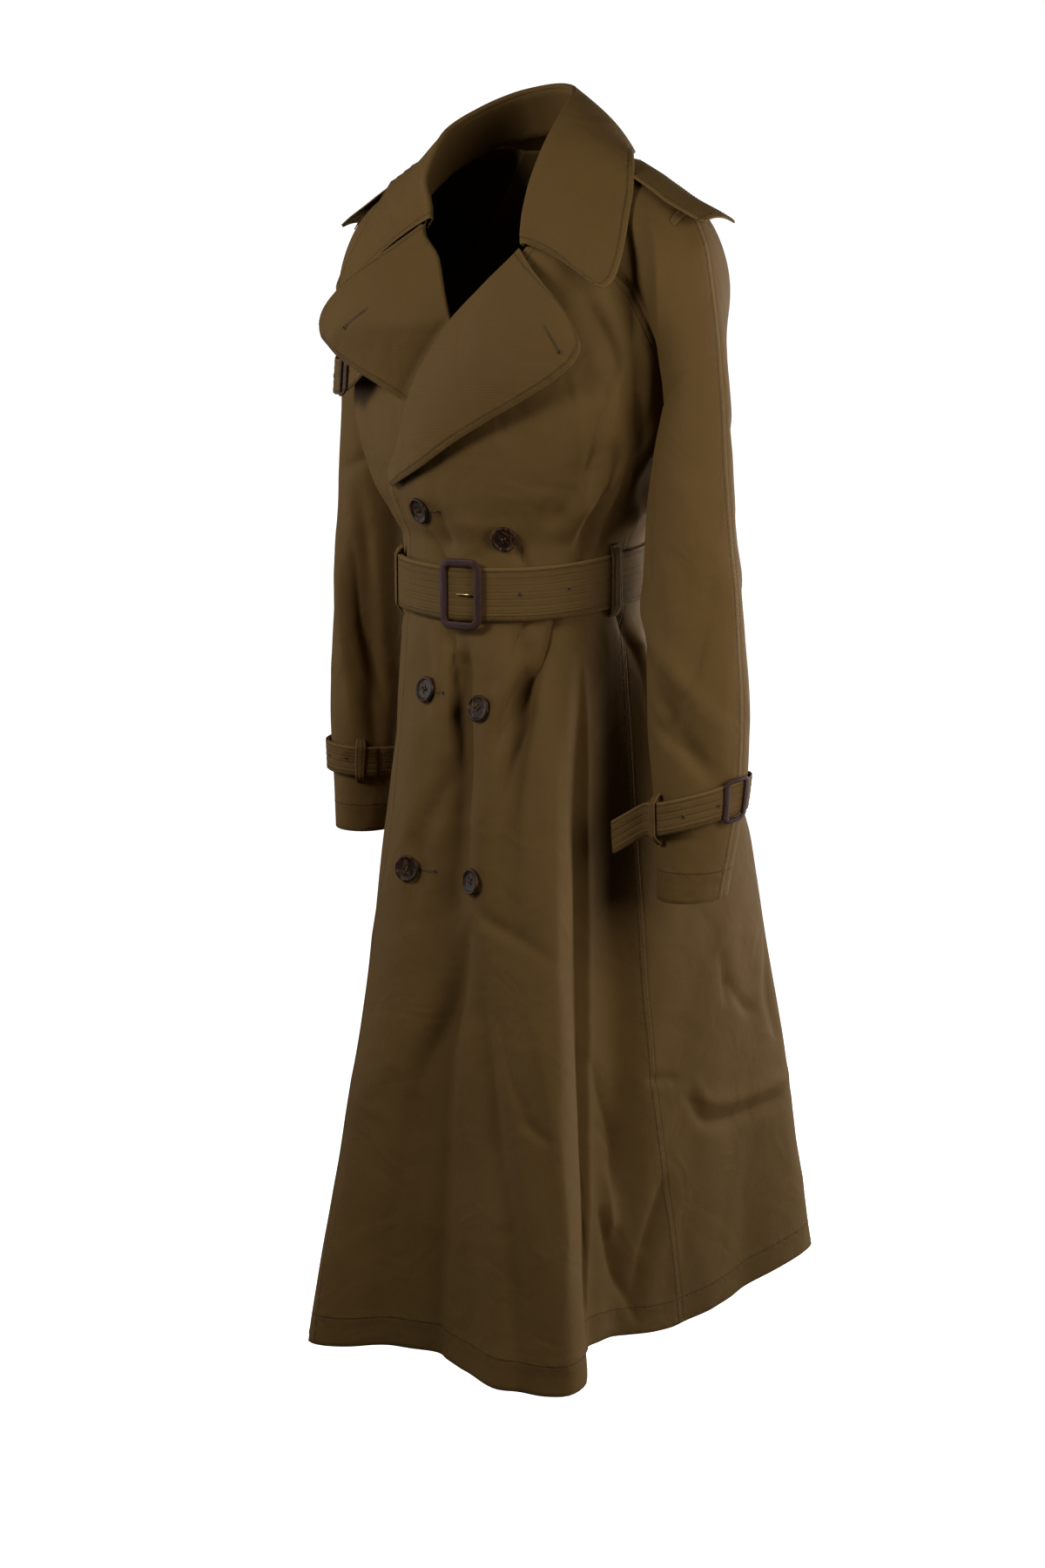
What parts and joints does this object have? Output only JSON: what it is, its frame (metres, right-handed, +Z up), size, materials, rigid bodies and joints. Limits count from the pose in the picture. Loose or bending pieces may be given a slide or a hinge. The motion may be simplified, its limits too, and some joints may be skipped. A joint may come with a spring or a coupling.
{
  "type": "trench coat",
  "caption": "Long double-breasted belted trench coat with raglan sleeves, wide lapels, shoulder straps and cuff straps, held in its worn, hollow shape.",
  "frame": {"origin": "middle of the neck opening, level with the side of the neck, where the wearer's neck and shoulders hold the coat", "axes": "+Z up; the coat faces -Y; +X is the wearer's left"},
  "size_m": [0.6211, 0.5868, 1.3392],
  "materials": {
    "gabardine": "olive-brown cotton twill with a slight sheen",
    "leather": "dark brown, smooth, semi-gloss",
    "horn": "polished dark horn with brown marbling",
    "brass": "polished, slightly worn"
  },
  "bodies": {
    "root": {"front_left": "gabardine", "front_right": "gabardine", "back": "gabardine", "sleeve_front_left": "gabardine", "sleeve_back_left": "gabardine", "sleeve_front_right": "gabardine", "sleeve_back_right": "gabardine", "lapel_left": "gabardine", "lapel_right": "gabardine", "collar_leaf": "gabardine", "collar_stand": "gabardine", "belt": "gabardine", "belt_loop_left_side": "gabardine", "belt_loop_right_front": "gabardine", "belt_loop_back_left": "gabardine", "belt_loop_back_right": "gabardine", "epaulette_left": "gabardine", "epaulette_right": "gabardine", "epaulette_loop_left": "gabardine", "epaulette_loop_right": "gabardine", "cuff_strap_left": "gabardine", "cuff_strap_right": "gabardine", "cuff_loop_left": "gabardine", "cuff_loop_right": "gabardine", "throat_latch": "gabardine", "belt_buckle": "leather", "cuff_buckle_left": "leather", "cuff_buckle_right": "leather", "latch_buckle": "leather", "button_top_right": "horn", "button_top_left": "horn", "button_middle_right": "horn", "button_middle_left": "horn", "button_low_right": "horn", "button_low_left": "horn", "buckle_prong": "brass"}
  },
  "joints": []
}
